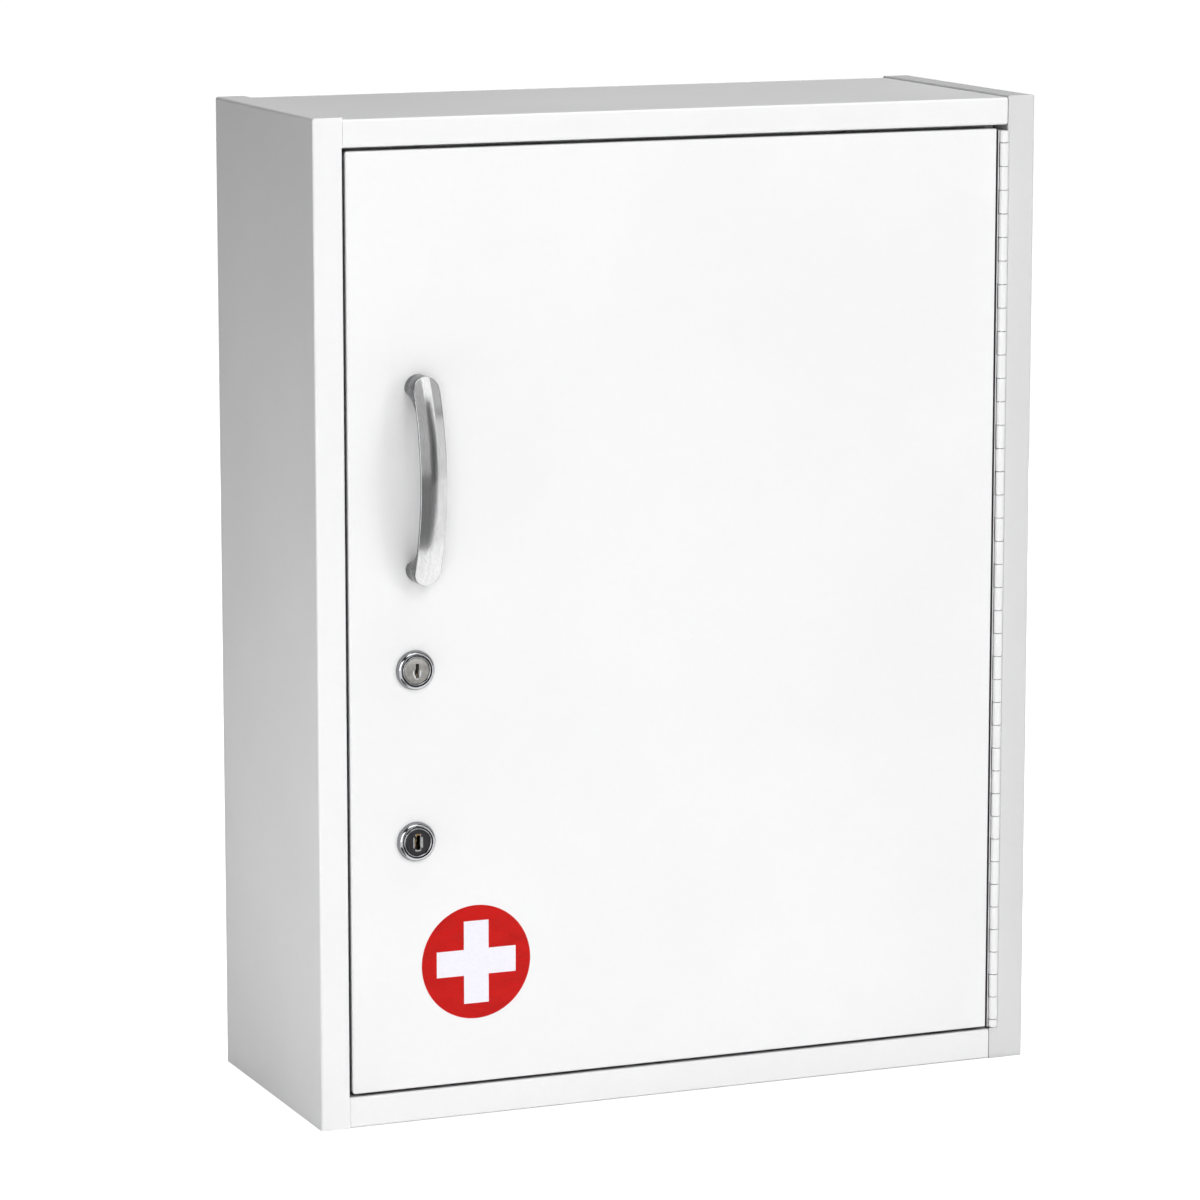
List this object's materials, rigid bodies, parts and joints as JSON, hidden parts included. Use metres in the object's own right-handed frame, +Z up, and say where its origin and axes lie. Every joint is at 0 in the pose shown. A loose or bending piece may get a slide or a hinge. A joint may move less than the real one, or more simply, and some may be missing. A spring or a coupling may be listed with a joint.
{
  "type": "lockable medicine cabinet",
  "caption": "White steel wall cabinet for medicines, with shelves inside and a hinged door that has a bow handle, cam locks and a first-aid label.",
  "frame": {"origin": "centre of the underside, on the plane the cabinet stands on", "axes": "+X to the right when facing the door, +Y to the back (the wall side), +Z up"},
  "size_m": [0.41, 0.1794, 0.53],
  "materials": {
    "cabinet_paint": "semi-gloss white powder coat on folded steel",
    "door_paint": "semi-gloss white powder coat on folded steel",
    "hinge_paint": "white powder coat over the hinge",
    "shelf_paint": "semi-gloss white powder coat",
    "standard_steel": "zinc plated steel strip",
    "clip_steel": "zinc plated spring steel",
    "bumper_rubber": "soft grey rubber",
    "pin_steel": "drawn steel wire",
    "label_print": "red vinyl sticker with a white cross",
    "handle_metal": "satin nickel plated zinc casting",
    "screw_steel": "zinc plated steel",
    "lock_chrome": "polished chrome plate on a zinc casting",
    "nut_zinc": "zinc plated steel",
    "plug_nickel": "satin nickel plate",
    "plug_black": "black plated face with a bright keyway insert",
    "wafer_brass": "stamped brass",
    "cam_zinc": "zinc plated steel"
  },
  "bodies": {
    "carcass": {"left_side_panel": "cabinet_paint", "right_side_panel": "cabinet_paint", "top_panel": "cabinet_paint", "bottom_panel": "cabinet_paint", "back_panel": "cabinet_paint", "shelf_standards": "standard_steel", "shelf_clips": "clip_steel", "upper_shelf": "shelf_paint", "lower_shelf": "shelf_paint", "door_bumpers": "bumper_rubber", "hinge_frame_leaf": "hinge_paint", "hinge_pin": "pin_steel"},
    "door": {"door_panel": "door_paint", "door_stiffener": "door_paint", "cross_label": "label_print", "hinge_door_leaf": "hinge_paint", "handle": "handle_metal", "handle_screws": "screw_steel", "upper_lock_housing": "lock_chrome", "upper_lock_nut": "nut_zinc", "lower_lock_housing": "lock_chrome", "lower_lock_nut": "nut_zinc"},
    "upper_lock_core": {"upper_lock_plug": "plug_nickel", "upper_lock_wafers": "wafer_brass", "upper_lock_cam": "cam_zinc", "upper_lock_washer": "cam_zinc", "upper_lock_screw": "screw_steel"},
    "lower_lock_core": {"lower_lock_plug": "plug_black", "lower_lock_wafers": "wafer_brass", "lower_lock_cam": "cam_zinc", "lower_lock_washer": "cam_zinc", "lower_lock_screw": "screw_steel"}
  },
  "joints": [
    {"name": "door_hinge", "type": "hinge", "parent": "carcass", "child": "door", "pos_m": [0.1866, -0.0778, 0.265], "axis": [0, 0, 1], "range_deg": [0, 180]},
    {"name": "upper_lock_turn", "type": "hinge", "parent": "door", "child": "upper_lock_core", "pos_m": [-0.1516, -0.0775, 0.2422], "axis": [0, 1, 0], "range_deg": [0, 90]},
    {"name": "lower_lock_turn", "type": "hinge", "parent": "door", "child": "lower_lock_core", "pos_m": [-0.1516, -0.0775, 0.1511], "axis": [0, 1, 0], "range_deg": [0, 90]}
  ]
}
